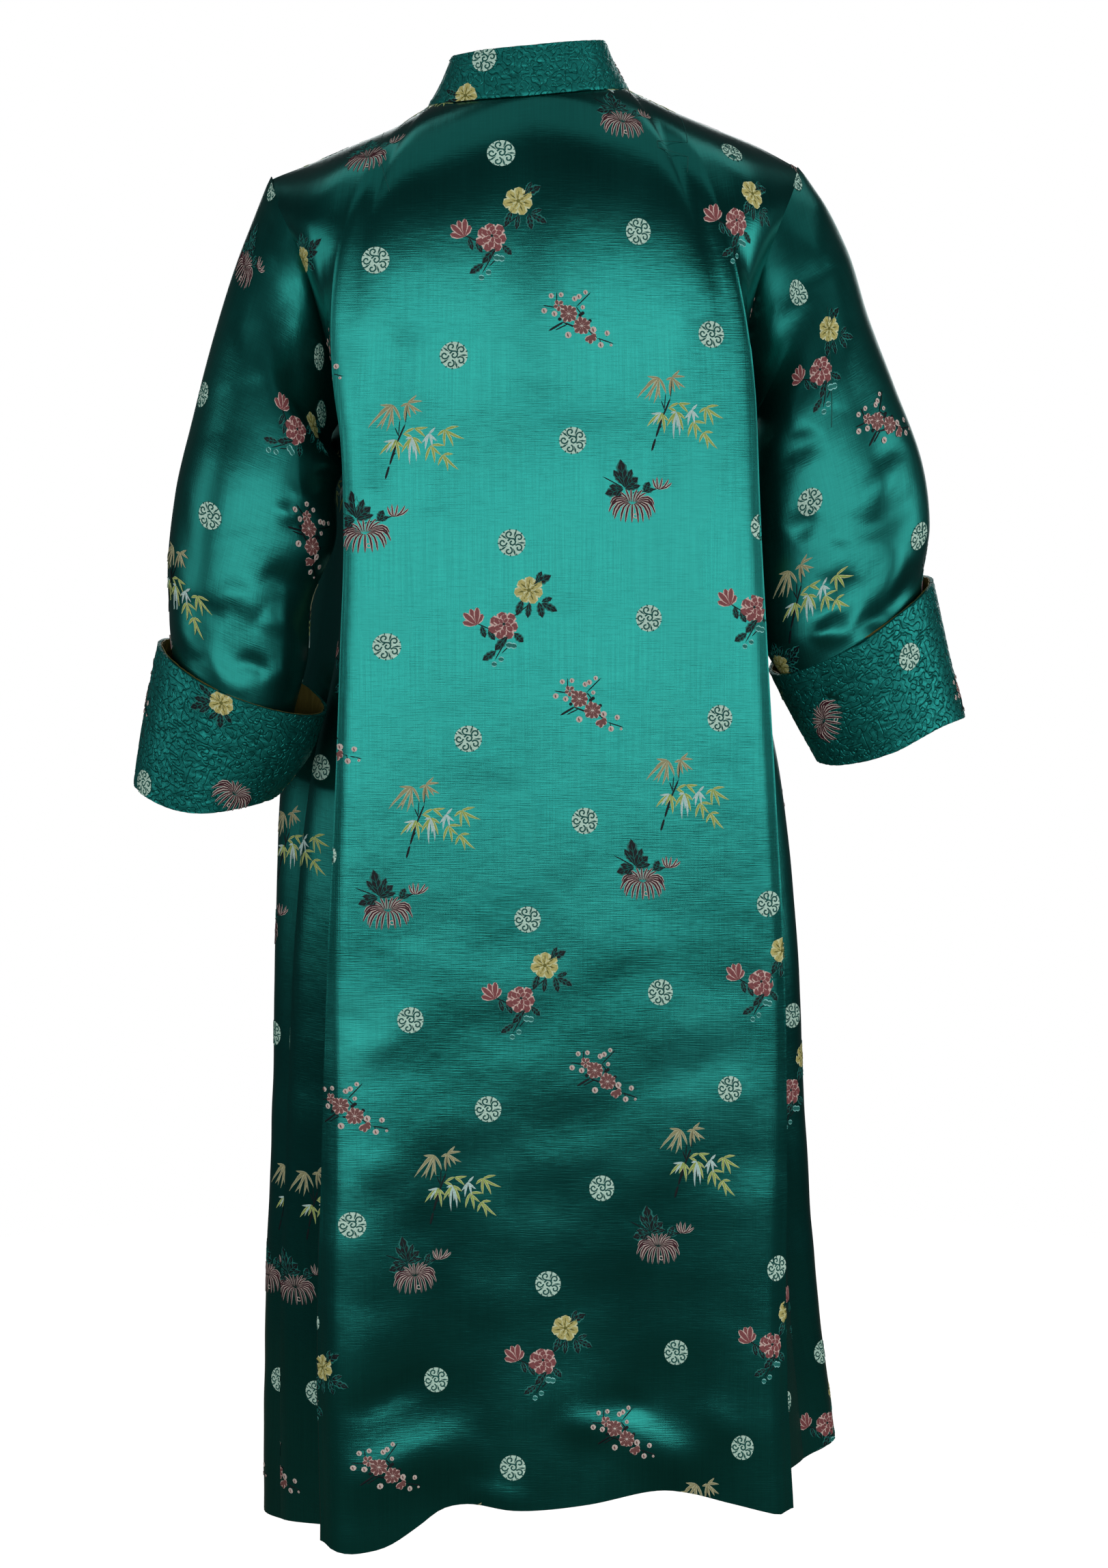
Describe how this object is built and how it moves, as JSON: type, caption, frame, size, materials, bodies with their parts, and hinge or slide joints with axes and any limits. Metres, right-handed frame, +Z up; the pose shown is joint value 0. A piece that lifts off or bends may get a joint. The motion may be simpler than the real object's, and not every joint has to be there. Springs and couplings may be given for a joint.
{
  "type": "dressing gown",
  "caption": "Lined silk dressing gown with stand collar, set-in three-quarter sleeves, quilted turned-back cuffs and an A-line skirt, filled out and hollow.",
  "frame": {"origin": "on the centre plane at the level of the neck base, midway between the back and the front of the neckline, where the gown is held", "axes": "+Z up, +Y out of the back, -Y out of the front, +X towards the wearer's left"},
  "size_m": [0.65, 0.3056, 1.1783],
  "materials": {
    "silk_brocade": "lustrous teal silk satin with woven flower motifs",
    "quilted_silk": "the same satin, wadded and closely quilted",
    "gold_lining": "gold silk lining with a soft sheen"
  },
  "bodies": {
    "root": {"back": "silk_brocade", "front_left": "silk_brocade", "front_right": "silk_brocade", "sleeve_left": "silk_brocade", "sleeve_right": "silk_brocade", "cuff_left": "quilted_silk", "cuff_right": "quilted_silk", "cuff_lining_left": "gold_lining", "cuff_lining_right": "gold_lining", "collar_left": "quilted_silk", "collar_right": "quilted_silk"}
  },
  "joints": []
}
